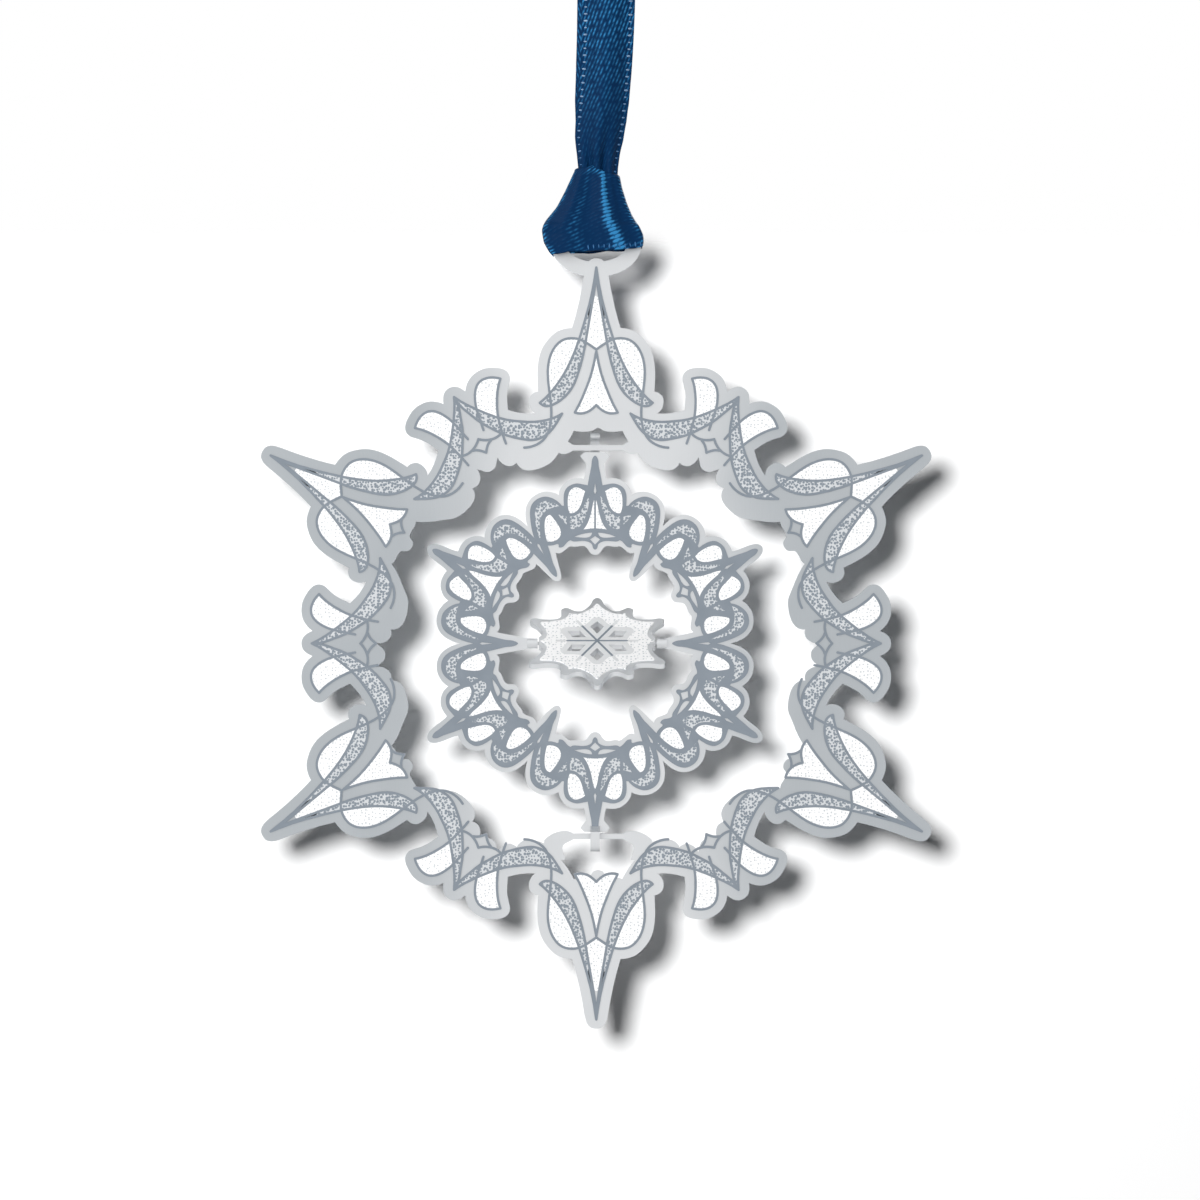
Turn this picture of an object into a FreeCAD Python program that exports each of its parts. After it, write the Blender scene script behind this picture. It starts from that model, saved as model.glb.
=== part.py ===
import FreeCAD, Part
import math
import os

# Hanging ornament: three flat etched metal snowflakes, one inside another, on a satin ribbon.
# X right, Z up, the decorated faces look towards -Y.  The origin is where the loop hangs, on the
# inside of the ribbon's top.  Millimetres.

# ---- overall sizes -------------------------------------------------------------------------
tip_radius = 42.35          # centre of the snowflake to the end of a long point
hang_height = 84.7          # centre of the snowflake to the inside of the ribbon loop's top
plate = 0.6                 # sheet thickness of all three snowflakes
enamel = 0.08               # how far lines, enamel and bands stand above the sheet
line_width = 0.27           # drawn lines of the outer snowflake

# opening of the outer snowflake: its scalloped edge sits a little low in the pattern
hole_right = 0.20
hole_drop = 1.27

# two hinge bars across the opening, and the tabs that hook round them
bar_height = 0.60
bar_half = 2.72             # half length of a bar between its lugs
top_bar = 21.52             # height of the bars' middles above and below the centre
low_bar = 21.21
tab_width = 1.02
tab_sheet = 0.40
tab_gap = 0.45              # from bar face to the inside of a hook, all round
barb_clear = 0.20           # from the lower barbs to their bar

# middle snowflake and star
middle_gap = 2.46           # from its free points to the bumps of the opening round it
middle_left = 0.13          # its centre line lies this far to the left
petal_rib = 0.20            # line up the middle of the top petal
star_gap = 1.21             # from the star's long points to the bumps of the ring round it
star_right = 0.10
star_tilt = 56.0            # the star's face is turned up by this much
pin_radius = 0.20
pin_clear = 0.04
barrel_radius = 0.55
barrel_length = 1.15
barrel_gap = 0.15           # from the star's blunt side point to the barrel
pin_seat = 1.1              # length of pin let into the star

# eyelet and ribbon
eyelet_side = 1.60          # width of the eyelet's metal beside the slot
eyelet_drop = 3.60          # lower half of the eyelet, an ellipse
slot_drop = 1.93
slot_room = 0.65            # from the ribbon's folded edge to the slot's end
eyelet_middle = 43.89       # widest part of the eyelet above the centre
rail = 1.40                 # height of the rail that carries the ribbon
rail_middle = 44.96
swing = 25.0                # the snowflake swings this far each way in the ribbon
ribbon_width = 6.35
ribbon_thick = 0.30
bight_radius = 3.50         # inside of the loop's top
neck_rise = 7.39            # top of the hitch above the rail's middle
speck = 0.03                # cells smaller than this, in square millimetres, stay bare

Z0 = -hang_height
scale = tip_radius / 42.35
ribbon_scale = ribbon_width / 6.35
strap = 0.425 * ribbon_width            # half width of the folded ribbon in the slot
slot_half = strap + slot_room
eyelet_half = slot_half + eyelet_side

# ---- outlines: half a repeat each, (sideways, outward) from an axis of the pattern ------------
# outer edge: long point, round petal, barb, sweep to the wing, the wing's petal and its middle
TIP_CAP = [(2.67, 34.69), (2.2, 36.3), (1.79, 38.06), (1.42, 40.04), (1.2, 41.25), (0.99, 41.8),
    (0.57, 42.23), (0, 42.35)]
TIP_PETAL = [(2.67, 34.69), (3.35, 34.62), (4.29, 34.3), (5.18, 33.55), (5.95, 32.45), (6.34, 31.2),
    (6.47, 29.7), (6.4, 27.69)]
TIP_BARB = [(6.4, 27.69), (6.95, 27.48), (7.32, 27.03), (7.39, 26.4), (7.18, 25.77), (6.7, 25.3)]
TIP_SWEEP = [(6.7, 25.3), (7.59, 25.27), (8.69, 25.4), (9.72, 25.67)]
WING_NECK = [(4.41, 27.08), (4.77, 27.83), (5.28, 28.74), (5.85, 29.4), (6.25, 29.83),
    (6.48, 30.33), (6.41, 30.91), (6.04, 31.42), (5.39, 31.9), (4.55, 32.3), (3.69, 32.41),
    (2.75, 32.27), (1.94, 31.8), (1.38, 31.2)]
WING_CAP = [(1.38, 31.2), (1.14, 31.7), (0.7, 32.2), (0, 32.41)]
# opening: middle scallop, side scallop and petal edge of a wing, then the bump at a point
HOLE_MID = [(1.32, 24.33), (0.95, 23.97), (0.55, 23.56), (0, 23.42)]
HOLE_LOBE = [(1.32, 24.33), (1.31, 23.83), (1.52, 23.3), (1.89, 22.9), (2.34, 22.75), (2.82, 22.8)]
HOLE_PETAL = [(2.82, 22.8), (2.84, 22.29), (3.1, 21.77), (3.59, 21.38), (4.38, 21.07),
    (5.28, 20.91), (6.19, 20.94), (7.15, 21.31), (8.39, 21.8), (9.33, 22.26), (10.03, 22.71)]
HOLE_BUMP = [(2.68, 24.68), (1.84, 24.57), (1.26, 24.57), (0.88, 24.41), (0.7, 24.05),
    (0.44, 23.78), (0, 23.68)]
HOLE_NOTCH = [(2.68, 24.65), (1.76, 24.55), (0.99, 24.6), (0.44, 24.77), (0, 24.99)]
# line work at a long point: horn band, petal, heart, and the little gem below it
HORN_OUT = [(0, 41.33), (0.3, 39.38), (0.69, 37.51), (1.14, 35.86), (1.89, 33.4), (2.67, 31.35),
    (3.63, 29.48), (4.58, 28.12), (5.46, 27.1), (6.2, 26.46)]
HORN_IN = [(0, 40.81), (0.32, 38.1), (0.87, 34.97), (1.43, 31.79), (2.01, 29.68), (2.77, 27.96),
    (3.63, 26.99), (4.69, 26.29), (5.5, 26.1), (6.2, 26.46)]
PETAL = [(0, 32.33), (1.06, 33.05), (1.89, 33.44), (2.73, 33.55), (3.63, 33.37), (4.47, 32.69),
    (5.06, 31.57), (5.32, 30.1), (5.27, 28.71), (5.08, 27.17), (4.95, 25.74), (4.99, 24.42),
    (5.21, 23.43), (5.75, 22.46), (6.69, 21.8), (7.91, 21.53)]
HEART_SIDE = [(0, 32.12), (0.24, 30.86), (0.57, 29.54), (1.12, 28.01), (1.69, 26.66), (2.35, 25.39)]
HEART_BASE = [(2.35, 25.39), (1.65, 25.3), (1.04, 25.43), (0.51, 25.74), (0, 26.21)]
GEM_TIP = [(1.1, 25.37), (0.59, 25.1), (0.24, 24.75), (0, 24.38)]
# line work at a wing: sweeping band, leaf, gem
SWEEP_OUT = [(0, 31.27), (0.4, 30.47), (0.9, 29.66), (1.5, 28.82), (2.33, 27.74), (3.07, 26.88),
    (3.93, 26.07), (4.95, 25.32), (5.97, 24.66), (7, 24.18), (8.07, 23.86), (9.37, 23.76)]
SWEEP_IN = [(0, 30.91), (0.21, 29.78), (0.56, 28.84), (1.04, 27.61), (1.75, 26.38), (2.52, 25.22),
    (3.33, 24.31), (4.27, 23.47), (5.21, 22.84), (6.16, 22.61), (7.02, 22.66), (7.79, 22.92),
    (8.58, 23.32), (9.37, 23.76)]
LEAF_UP = [(5.42, 30.48), (4.6, 31.1), (3.77, 31.35), (3, 31.21), (2.34, 30.65), (1.83, 29.81),
    (1.47, 28.82), (1.25, 27.81), (0.99, 26.52)]
LEAF_LOW = [(5.42, 30.48), (4.71, 29.77), (3.96, 28.71), (3.4, 27.68), (3.07, 26.88), (2.83, 26.03),
    (2.61, 25.15), (2.39, 24.01)]
GEM_TOP = [(2.35, 25.18), (1.25, 25.19), (0.62, 25.45), (0, 25.93)]
GEM_LOW = [(1.1, 25.11), (0.57, 24.84), (0.24, 24.52), (0, 24.22)]
# middle snowflake: sheet edge
MID_CAP = [(1.24, 18.11), (0.99, 19.32), (0.76, 20.5), (0.47, 21), (0, 21.22)]
MID_LOBE_A = [(1.24, 18.11), (1.94, 18.18), (2.71, 18.04), (3.33, 17.64), (3.78, 17.08), (4, 16.35)]
MID_LOBE_B = [(4, 16.35), (4.58, 16.59), (5.37, 16.69), (6.16, 16.53), (6.92, 16.08), (7.46, 15.36),
    (7.67, 14.45), (7.6, 13.53), (7.44, 12.88)]
MID_IN_BUMP = [(2.62, 10.71), (1.87, 10.67), (1.14, 10.67), (0.79, 10.34), (0.46, 9.9), (0, 9.75)]
MID_IN_SHOULDER = [(2.62, 10.71), (3.23, 10.34), (3.74, 9.97), (4.32, 9.97)]
MID_SPIKE = [(1.25, 10.8), (0.9, 9.64), (0.55, 8.49), (0.33, 8.1), (0, 7.95)]
# its dark field
DARK_CAP = [(0.81, 17.39), (0.55, 18.81), (0.39, 19.69), (0.28, 20.35), (0, 20.64)]
DARK_LOBE_A = [(0.81, 17.39), (1.42, 17.51), (2.05, 17.58), (2.67, 17.41), (3.16, 17.05),
    (3.42, 16.42), (3.46, 15.73), (3.42, 15.14)]
DARK_LOBE_B = [(3.65, 15.14), (4.25, 15.72), (4.87, 16.03), (5.5, 16.14), (6.13, 15.99),
    (6.7, 15.61), (7.04, 15.07), (7.16, 14.41), (7.11, 13.52), (6.95, 12.52), (6.71, 11.63)]
DARK_SPIKE = [(0.9, 11.91), (0.65, 10.88), (0.39, 9.77), (0.21, 8.74), (0, 8.47)]
DARK_ARC = [(5.19, 10.76), (4.64, 10.8), (4.22, 10.93)]
DARK_TAIL = [(4.22, 10.93), (4, 10.8), (3.99, 10.6), (3.78, 10.55), (3.12, 11.07), (2.68, 11.35)]
DARK_GEM = [(2.68, 11.35), (2.53, 11.26), (1.88, 11.24), (1.1, 11.26), (0.63, 11.12), (0.34, 10.87),
    (0.21, 10.47), (0, 10.32)]
# cells in the dark field: white, stippled and bare
CELL_SPEAR = [(0, 15.99), (0.22, 15.4), (0.37, 14.62), (0.64, 13.67), (0.95, 12.98), (1.28, 12.53)]
CELL_SPEAR_BASE = [(1.28, 12.53), (0.64, 12.62), (0, 12.66)]
CELL_LEAF_TOP = [(1.1, 16.73), (1.69, 17.07), (2.24, 17.14), (2.68, 16.87), (2.93, 16.32),
    (3.01, 15.55), (2.95, 14.81), (2.79, 14.34)]
CELL_LEAF_LOW = [(2.79, 14.34), (2.24, 14.41), (1.8, 14.81), (1.42, 15.66), (1.1, 16.73)]
CELL_SIDE_OUT = [(4.95, 14.15), (5.36, 13.89), (5.53, 13.35), (5.54, 12.57), (5.42, 11.77),
    (5.27, 11.23)]
CELL_SIDE_IN = [(5.27, 11.23), (4.58, 11.24), (4.03, 11.54), (3.77, 12.06), (3.85, 12.61),
    (4.2, 13.24), (4.57, 13.75), (4.95, 14.15)]
BAND_TIP_IN = [(0.59, 16.21), (0.7, 15.25), (0.9, 14.43), (1.17, 13.66), (1.52, 13.05), (2, 12.67),
    (2.68, 12.62)]
BAND_TIP_SIDE = [(2.68, 12.62), (2.76, 13.29), (2.72, 13.98)]
BAND_TIP_OUT = [(2.72, 13.98), (2.07, 14.12), (1.63, 14.5), (1.24, 15.11), (0.9, 15.77),
    (0.59, 16.21)]
BAND_SMALL = [(4.03, 14.17), (3.12, 13.93), (3.11, 13.07)]
BAND_SIDE_OUT = [(3.96, 15.09), (4.55, 15.49), (5.18, 15.68), (5.82, 15.55), (6.3, 15.18),
    (6.57, 14.59), (6.6, 13.79), (6.47, 12.87), (6.28, 12.1), (5.98, 11.29)]
BAND_SIDE_IN = [(5.98, 11.29), (6.07, 12.32), (6.08, 13.35), (5.9, 14.01), (5.37, 14.61),
    (4.71, 14.92), (3.96, 15.09)]
LENS_UP = [(2.31, 11.71), (1.43, 12.03), (0.33, 12.19)]
LENS_LOW = [(0.33, 12.19), (0.51, 11.8), (1.21, 11.62), (2.31, 11.71)]
GEM_MID = [(0, 11.81), (0.55, 11.44), (0, 10.88)]
SLIVER_TIP = [(0, 17.64), (0.14, 16.72), (0, 16.43)]
SLIVER_SPIKE = [(0, 12.68), (0.13, 12.45), (0, 11.3)]
# star: sheet edge and white field from a long point to a short one, then the figure inside
STAR_EDGE = [(0, 8.54), (0.44, 8.2), (0.64, 7.54), (0.94, 6.88), (1.31, 6.31), (1.87, 5.9),
    (2.43, 5.94), (2.92, 6.25), (3.3, 6.53), (3.72, 6.44)]
STAR_FIELD = [(0, 7.23), (0.45, 6.62), (1.15, 5.82), (1.7, 5.4), (2.2, 5.24), (2.7, 5.24),
    (3.14, 5.44)]
STAR_FIGURE = [(0, 4.53), (0.39, 4.44), (0.68, 4.13), (1.03, 3.49), (1.37, 3.08), (1.53, 2.65)]
STAR_WINDOW = [(0, 3.84), (0.78, 2.72), (0, 1.38)]
spoke_long, spoke_short = 4.58, 3.40
spoke_wide, spoke_thin = 0.36, 0.26

middle_radius = HOLE_BUMP[-1][1] * scale - middle_gap
mid_scale = middle_radius / MID_CAP[-1][1]
star_radius = MID_IN_BUMP[-1][1] * mid_scale - star_gap
star_scale = star_radius / STAR_EDGE[0][1]

# hitch and ribbon seen from the front, from the rail's middle
HITCH_LEFT = [(-1.93, 7.39), (-2.5, 6.79), (-3.45, 4.74), (-4.35, 3.04), (-5.66, 1.44),
    (-6.06, 0.44), (-5.86, -0.76), (-5.19, -1.96), (-4.79, -2.16)]
HITCH_FOOT = [(-4.79, -2.16), (-3.45, -2.06), (-1.42, -1.81), (1.15, -1.76), (4.08, -1.76),
    (5.1, -1.41)]
HITCH_RIGHT = [(5.1, -1.41), (5.28, -0.76), (5.15, 0.04), (4.75, 0.84), (3.95, 2.14), (3.39, 3.44),
    (2.83, 5.24), (2.62, 6.34), (2.39, 7.39)]
RIBBON_LEFT = [(-1.93, 7.39), (-2.15, 8.44), (-2.4, 10.24), (-2.35, 13.84), (-2.2, 20.04),
    (-2.12, 26.04)]
RIBBON_RIGHT = [(4.25, 26.04), (3.91, 18.24), (3.6, 13.84), (3.1, 10.24), (2.72, 8.44),
    (2.39, 7.39)]

os.makedirs("parts", exist_ok=True)


def export(shape, name):
    for solid in shape.Solids:
        if not solid.isValid():
            print("invalid solid in", name)
    shape.exportStep("parts/%s.step" % name)
    box = shape.BoundBox
    print("%-24s solids %3d  volume %9.3f  x %.2f %.2f  y %.2f %.2f  z %.2f %.2f" % (
        name, len(shape.Solids), shape.Volume, box.XMin, box.XMax, box.YMin, box.YMax,
        box.ZMin, box.ZMax))


# ---- plane helpers: everything flat is drawn at y = 0 and raised afterwards -------------------
def mirrored(points):
    return [(-u, v) for u, v in points]


def full(points):
    """both halves of a run that ends on the axis, from left to right"""
    return mirrored(points) + points[::-1][1:]


def placed(points, angle, centre=(0.0, 0.0), size=1.0):
    """local (sideways, outward) points set out from an axis that points at angle degrees"""
    a = math.radians(angle)
    return [FreeCAD.Vector(centre[0] + size * (u * math.sin(a) + v * math.cos(a)), 0,
                           centre[1] + size * (v * math.sin(a) - u * math.cos(a)))
            for u, v in points]


def spline(points):
    if len(points) == 2:
        return Part.makeLine(points[0], points[1])
    curve = Part.BSplineCurve()
    curve.interpolate(points)
    return curve.toShape()


SHEET = Part.Plane(FreeCAD.Vector(0, 0, 0), FreeCAD.Vector(0, -1, 0))


def flat(edges):
    """flat face inside a closed wire, always turned towards the front"""
    shape = Part.Face(SHEET, Part.Wire(edges))
    shape.validate()
    return shape


def polygon(points):
    """flat face with straight sides through (x, z) points"""
    corners = [FreeCAD.Vector(x, 0, z) for x, z in points]
    return flat(Part.makePolygon(corners + corners[:1]).Edges)


def face(runs):
    """face inside a closed chain of runs, each a smooth curve that starts where the last ended"""
    edges = []
    for i in range(len(runs)):
        nxt = runs[(i + 1) % len(runs)]
        run = list(runs[i])
        if run[-1].distanceToPoint(nxt[0]) < 0.12:
            run[-1] = nxt[0]
            edges.append(spline(run))
        else:
            edges.append(spline(run))
            edges.append(Part.makeLine(run[-1], nxt[0]))
    return flat(edges)


def stroke(points, width):
    """a drawn line of even width with round ends"""
    curve = Part.BSplineCurve()
    curve.interpolate(points)
    first, last = curve.FirstParameter, curve.LastParameter
    count = 2 * len(points)
    left, right = [], []
    for i in range(count + 1):
        p = first + (last - first) * i / count
        point, way = curve.value(p), curve.tangent(p)[0]
        side = FreeCAD.Vector(-way.z, 0, way.x) * (width / 2)
        left.append(point + side)
        right.append(point - side)
    start = curve.value(first) - curve.tangent(first)[0] * (width / 2)
    end = curve.value(last) + curve.tangent(last)[0] * (width / 2)
    edges = [spline(left), Part.Arc(left[-1], end, right[-1]).toShape(), spline(right[::-1]),
             Part.Arc(right[0], start, left[0]).toShape()]
    return flat(edges)


def joined(faces):
    """one flat region from overlapping faces"""
    shape = faces[0] if len(faces) == 1 else faces[0].multiFuse(faces[1:])
    return shape.removeSplitter()


def raised(shape, start, depth):
    """flat region turned into sheet from y = start towards the back"""
    solid = shape.extrude(FreeCAD.Vector(0, depth, 0))
    solid.translate(FreeCAD.Vector(0, start, 0))
    return Part.makeCompound(solid.Solids) if len(solid.Solids) > 1 else solid.Solids[0]


centre = (0.0, Z0)
hole_centre = (hole_right * scale, Z0 - hole_drop * scale)
middle_centre = (-middle_left, Z0)
star_centre = (star_right, Z0)
tips = [90 - 60 * i for i in range(6)]
wings = [60 - 60 * i for i in range(6)]
front = -plate / 2

# ---- outer snowflake -------------------------------------------------------------------------
runs = []
for tip in tips:
    wing, after = tip - 30, tip - 60
    for points in (full(TIP_CAP), TIP_PETAL, TIP_BARB, TIP_SWEEP):
        runs.append(placed(points, tip, centre, scale))
    for points in (mirrored(WING_NECK), full(WING_CAP), WING_NECK[::-1]):
        runs.append(placed(points, wing, centre, scale))
    for points in (TIP_SWEEP, TIP_BARB, TIP_PETAL):
        runs.append(placed(mirrored(points)[::-1], after, centre, scale))
outer_face = face(runs)

runs = []
for tip in tips:
    wing, after = tip - 30, tip - 60
    edge = HOLE_NOTCH if tip == 90 else HOLE_BUMP
    runs.append(placed(full(edge), tip, hole_centre, scale))
    runs.append(placed(mirrored(HOLE_PETAL)[::-1], wing, hole_centre, scale))
    runs.append(placed(mirrored(HOLE_LOBE)[::-1], wing, hole_centre, scale))
    runs.append(placed(full(HOLE_MID), wing, hole_centre, scale))
    runs.append(placed(HOLE_LOBE, wing, hole_centre, scale))
    runs.append(placed(HOLE_PETAL, wing, hole_centre, scale))
hole_face = face(runs)

# line work
strokes, hearts, gems = [], [], []
for tip in tips:
    at = lambda points: placed(points, tip, centre, scale)
    for side in (1, -1):
        turn = (lambda p: p) if side == 1 else mirrored
        for points in (HORN_OUT, HORN_IN, PETAL, HEART_SIDE, HEART_BASE):
            strokes.append(stroke(at(turn(points)), line_width))
        if tip not in (90, -90):
            strokes.append(stroke(at(turn(GEM_TIP)), line_width))
    hearts.append(face([at(mirrored(HEART_SIDE)[::-1]), at(HEART_SIDE), at(HEART_BASE),
                        at(mirrored(HEART_BASE)[::-1])]))
    if tip not in (90, -90):
        gems.append(face([at(HEART_BASE[2:]), at(mirrored(HEART_BASE[2:])[::-1]),
                          at(mirrored(GEM_TIP)), at(GEM_TIP[::-1])]))
for wing in wings:
    at = lambda points: placed(points, wing, centre, scale)
    for turn in (lambda p: p, mirrored):
        for points in (SWEEP_OUT, SWEEP_IN, LEAF_UP, LEAF_LOW, GEM_TOP, GEM_LOW):
            strokes.append(stroke(at(turn(points)), line_width))
    gems.append(face([at(GEM_TOP[1:]), at(mirrored(GEM_TOP[1:])[::-1]),
                      at(mirrored(GEM_LOW)), at(GEM_LOW[::-1])]))
lines_face = joined(strokes)

# enamel cells between the lines
white, bands = [], []
for tip in tips:
    at = lambda points: placed(points, tip, centre, scale)
    spear_side = HORN_IN[1:4] + [(1.13, 33.5)]
    white.append(face([at([(0, 38.2)] + spear_side), at([(1.13, 33.5), (1.06, 33.05), (0, 32.33)]),
                       at([(0, 32.33), (-1.06, 33.05), (-1.13, 33.5)]),
                       at(mirrored(spear_side)[::-1] + [(0, 38.2)])]))
    white.append(hearts[tips.index(tip)])
    for turn in (lambda p: p, mirrored):
        white.append(face([at(turn([(1.81, 33.68)] + HORN_OUT[5:8] + [(5.06, 27.54)])),
                           at(turn([(5.06, 27.54)] + PETAL[4:9][::-1] + [(2.73, 33.55),
                                                                        (1.81, 33.68)]))]))
        bands.append(face([at(turn(HORN_OUT[2:])), at(turn(HORN_IN[1:][::-1]))]))
for wing in wings:
    at = lambda points: placed(points, wing, centre, scale)
    for turn in (lambda p: p, mirrored):
        white.append(face([at(turn(LEAF_UP[:7])), at(turn(SWEEP_OUT[3:6])),
                           at(turn(LEAF_LOW[:5][::-1]))]))
        bands.append(face([at(turn(SWEEP_OUT)), at(turn(SWEEP_IN[::-1]))]))
# what is drawn keeps sheet under it where it runs past the opening's edge
backing = [shape for shape in hearts + gems + strokes if shape.common(hole_face).Area > 1e-4]

# eyelet: half an ellipse below, a straight rail above with rounded shoulders
def eyelet(half, drop, top):
    """closed outline, half wide, drop below its widest line and top above it"""
    mid = Z0 + eyelet_middle * scale
    point = lambda x, z: FreeCAD.Vector(x, 0, mid + z)
    steps = 14
    below = [point(half * math.cos(math.pi * i / steps), -drop * math.sin(math.pi * i / steps))
             for i in range(steps + 1)]
    c = top * math.cos(math.pi / 4)
    left = Part.Arc(below[-1], point(-half + top - c, c), point(-half + top, top)).toShape()
    right = Part.Arc(point(half - top, top), point(half - top + c, c), below[0]).toShape()
    across = Part.makeLine(point(-half + top, top), point(half - top, top))
    return flat([spline(below), left, across, right])


rail_z = Z0 + rail_middle * scale
eyelet_face = eyelet(eyelet_half, eyelet_drop, (rail_middle - eyelet_middle) * scale + rail / 2)
slot_face = eyelet(slot_half, slot_drop, (rail_middle - eyelet_middle) * scale - rail / 2)


def bar_and_lugs(level, up):
    """hinge bar at a height, with the lugs that join it to the petals; up = 1 above, -1 below"""
    x = hole_centre[0]
    z = Z0 + up * level
    half, h = bar_half, bar_height / 2
    shapes = [polygon([(x - half - 0.3, z - h), (x + half + 0.3, z - h), (x + half + 0.3, z + h),
                       (x - half - 0.3, z + h)])]
    for side in (1, -1):
        if up > 0:
            inner = [(half, -h), (half + 0.65, -h - 0.31), (half + 1.13, -h - 0.38),
                     (half + 1.6, -h - 0.24)]
            outer = [(half + 2.6, 0.3), (half + 1.2, 1.3), (half + 0.58, h + 0.38), (half, h)]
        else:
            inner = [(half, -h), (half + 0.55, -h - 0.24), (half + 1.16, -h - 0.27),
                     (half + 2.23, -h), (half + 3.2, h + 0.1)]
            outer = [(half + 3.4, 2.6), (half + 0.9, 2.6), (half + 1.2, 1.4), (half + 1.1, 0.96),
                     (half + 0.6, 0.62), (half, h)]
        at = lambda pts: [FreeCAD.Vector(x + side * u, 0, z + up * v) for u, v in pts]
        straight = [Part.makeLine(a, b) for a, b in zip(at(outer[:2]), at(outer[1:3]))]
        edges = [spline(at(inner)), Part.makeLine(at(inner)[-1], at(outer)[0])] + straight
        edges += [spline(at(outer[2:])), Part.makeLine(at(outer)[-1], at(inner)[0])]
        shapes.append(flat(edges))
    return shapes


plate_face = outer_face.fuse(eyelet_face.cut(slot_face)).removeSplitter().cut(hole_face)
top_parts = bar_and_lugs(top_bar * scale, 1) + bar_and_lugs(low_bar * scale, -1)
plate_face = joined(plate_face.Faces + top_parts + backing)
export(raised(plate_face, -plate / 2, plate), "outer_plate")
export(raised(lines_face, front - enamel, enamel), "outer_line_enamel")
white_face = Part.makeCompound(white).cut(lines_face)
white_face = Part.makeCompound([cell for cell in white_face.Faces if cell.Area > speck])
bands_face = Part.makeCompound(bands).cut(lines_face)
export(raised(white_face, front - enamel, enamel), "outer_white_enamel")
export(raised(bands_face, front - enamel, enamel), "outer_stippled_bands")

# ---- middle snowflake ------------------------------------------------------------------------
at = lambda points, angle: placed(points, angle, middle_centre, mid_scale)
runs = []
for tip in tips:
    for points in (full(MID_CAP), MID_LOBE_A, MID_LOBE_B):
        runs.append(at(points, tip))
    for points in (MID_LOBE_B, MID_LOBE_A):
        runs.append(at(mirrored(points)[::-1], tip - 60))
middle_face = face(runs)
runs = []
for tip in tips:
    runs.append(at(full(MID_IN_BUMP), tip))
    runs.append(at(MID_IN_SHOULDER, tip))
    runs.append(at(full(MID_SPIKE), tip - 30))
    runs.append(at(mirrored(MID_IN_SHOULDER)[::-1], tip - 60))
middle_face = middle_face.cut(face(runs))

# dark field with its cells
runs = []
for tip in tips:
    for points in (full(DARK_CAP), DARK_LOBE_A, DARK_LOBE_B):
        runs.append(at(points, tip))
    for points in (DARK_LOBE_B, DARK_LOBE_A):
        runs.append(at(mirrored(points)[::-1], tip - 60))
dark = face(runs)
runs = []
for tip in tips:
    runs.append(at(full(DARK_GEM), tip))
    runs.append(at(DARK_TAIL[::-1], tip))
    runs.append(at(DARK_ARC[::-1], tip))
    runs.append(at(full(DARK_SPIKE), tip - 30))
    runs.append(at(mirrored(DARK_ARC), tip - 60))
    runs.append(at(mirrored(DARK_TAIL), tip - 60))
dark = dark.cut(face(runs))
mid_white, mid_bands, bare = [], [], []
for tip in tips:
    go = lambda points: at(points, tip)
    mid_white.append(face([go(CELL_SPEAR), go(CELL_SPEAR_BASE), go(mirrored(CELL_SPEAR_BASE)[::-1]),
                           go(mirrored(CELL_SPEAR)[::-1])]))
    bare.append(face([go(GEM_MID[:2]), go(GEM_MID[1:]), go(mirrored(GEM_MID[1:])[::-1]),
                      go(mirrored(GEM_MID[:2])[::-1])]))
    bare.append(face([go(SLIVER_TIP[:2]), go(SLIVER_TIP[1:]), go(mirrored(SLIVER_TIP[1:])[::-1]),
                      go(mirrored(SLIVER_TIP[:2])[::-1])]))
    between = lambda points: at(points, tip - 30)
    bare.append(face([between(SLIVER_SPIKE[:2]), between(SLIVER_SPIKE[1:]),
                      between(mirrored(SLIVER_SPIKE[1:])[::-1]),
                      between(mirrored(SLIVER_SPIKE[:2])[::-1])]))
    for turn in (lambda p: p, mirrored):
        mid_white.append(face([go(turn(CELL_LEAF_TOP)), go(turn(CELL_LEAF_LOW))]))
        mid_white.append(face([go(turn(CELL_SIDE_OUT)), go(turn(CELL_SIDE_IN))]))
        mid_bands.append(face([go(turn(BAND_TIP_IN)), go(turn(BAND_TIP_SIDE)),
                               go(turn(BAND_TIP_OUT))]))
        mid_bands.append(face([go(turn(BAND_SMALL[:2])), go(turn(BAND_SMALL[1:])),
                               go(turn([BAND_SMALL[2], (3.57, 13.5), BAND_SMALL[0]]))]))
        mid_bands.append(face([go(turn(BAND_SIDE_OUT)), go(turn(BAND_SIDE_IN))]))
        bare.append(face([go(turn(LENS_UP)), go(turn(LENS_LOW))]))
# the top petal alone has a line up its middle
mid_x, rib_foot, rib_top = middle_centre[0], Z0 + 11 * mid_scale, Z0 + 17 * mid_scale
rib = polygon([(mid_x - petal_rib / 2, rib_foot), (mid_x + petal_rib / 2, rib_foot),
               (mid_x + petal_rib / 2, rib_top), (mid_x - petal_rib / 2, rib_top)])
mid_white[0] = Part.makeCompound(mid_white[0].cut(rib).Faces)

# tabs at top and bottom: barbed sheet that ends in a hook round its bar
bar_levels = {1: top_bar * scale, -1: low_bar * scale}


def barbed(up):
    """flat part of a tab, from the lobes to just short of the bar"""
    end = bar_levels[up] - bar_height / 2 - barb_clear
    neck = 0.96
    side = [(1.24, 17.6 * mid_scale), (neck, end - 1.25), (1.64, end - 0.42), (1.2, end)]
    return polygon([(middle_centre[0] + u, Z0 + up * v) for u, v in side + mirrored(side)[::-1]])


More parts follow.
